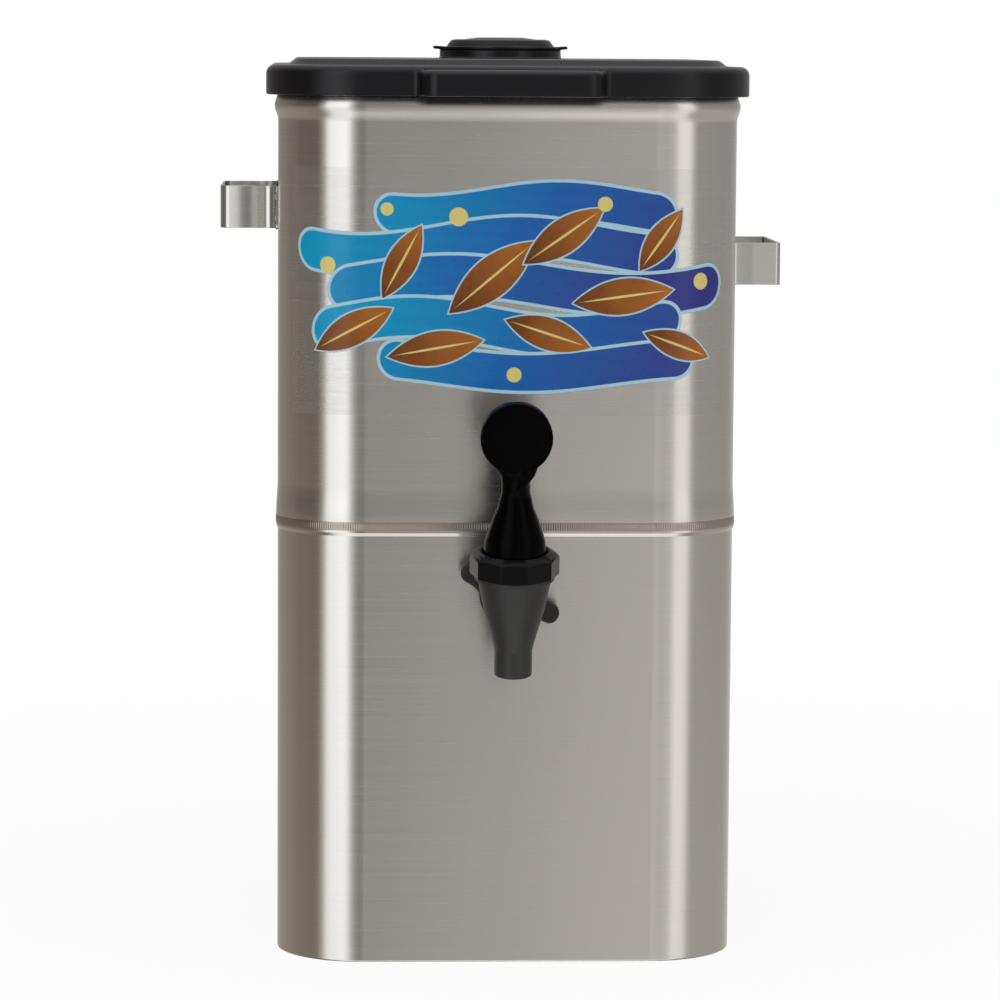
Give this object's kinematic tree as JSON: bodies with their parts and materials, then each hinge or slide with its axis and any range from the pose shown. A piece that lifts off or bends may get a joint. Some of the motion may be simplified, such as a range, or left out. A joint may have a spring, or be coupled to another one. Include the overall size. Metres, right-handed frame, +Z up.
{
  "type": "iced tea dispenser",
  "caption": "Narrow brushed stainless tank on a skirt, with a black lift-off lid, filling plug, staggered strap handles and a lever faucet.",
  "frame": {"origin": "centre of the tank's footprint, on the surface that it stands on", "axes": "+Z up, -Y towards the faucet and the user, +X to the user's right"},
  "size_m": [0.3082, 0.3946, 0.497],
  "materials": {
    "brushed_sheet": "horizontally brushed stainless sheet",
    "handle_strap": "brushed stainless strap",
    "machined_steel": "turned stainless",
    "spring_steel": "bright drawn wire",
    "lid_plastic": "satin moulded black",
    "tap_black": "gloss moulded black",
    "bonnet_black": "semi-gloss moulded black",
    "spout_grey": "fine matt moulded dark grey",
    "nut_black": "matt moulded black",
    "silicone": "translucent food silicone",
    "black_rubber": "matt black rubber",
    "label_film": null
  },
  "bodies": {
    "dispenser_body": {"tank_shell": "brushed_sheet", "lower_skirt": "brushed_sheet", "tank_floor_pan": "brushed_sheet", "left_handle": "handle_strap", "right_handle": "handle_strap", "front_label": "label_film", "outlet_spud": "machined_steel", "shank_gasket": "silicone", "nut_retaining_ring": "machined_steel", "faucet_body": "spout_grey", "pivot_cup": "bonnet_black", "stem_seal": "silicone", "faucet_bonnet": "bonnet_black", "seat_spring": "spring_steel"},
    "lid": {"lid_shell": "lid_plastic"},
    "plug": {"plug_cap": "lid_plastic", "plug_seal_ring": "black_rubber"},
    "tap_handle": {"handle_base": "tap_black", "handle_grip": "tap_black", "handle_medallion": "tap_black", "pivot_pin": "machined_steel", "lift_pin": "machined_steel"},
    "valve": {"valve_stem": "machined_steel", "seat_cup": "silicone", "spring_cap": "machined_steel"},
    "wing_nut_body": {"wing_nut": "nut_black"}
  },
  "joints": [
    {"name": "lid_lift", "type": "slide", "parent": "dispenser_body", "child": "lid", "axis": [0, 0, 1], "range_m": [0, 0.15]},
    {"name": "plug_lift", "type": "slide", "parent": "lid", "child": "plug", "axis": [0, 0, 1], "range_m": [0, 0.06]},
    {"name": "handle_tilt", "type": "hinge", "parent": "dispenser_body", "child": "tap_handle", "pos_m": [0, -0.20736, 0.23114], "axis": [1, 0, 0], "range_deg": [0, 30], "stiffness_Nm_per_rad": 0.5, "springref_deg": -11.46},
    {"name": "stem_lift", "type": "slide", "parent": "dispenser_body", "child": "valve", "axis": [0, -0.1736, 0.9848], "range_m": [0, 0.0046], "deforming": ["seat_spring"]},
    {"name": "wing_nut_turn", "type": "hinge", "parent": "dispenser_body", "child": "wing_nut_body", "pos_m": [0, -0.201, 0.1951], "axis": [0, 0.9848, 0.1736], "continuous": true}
  ],
  "couplings": [
    {"joint": "stem_lift", "follows": "handle_tilt", "m_per_rad": 0.0085}
  ]
}
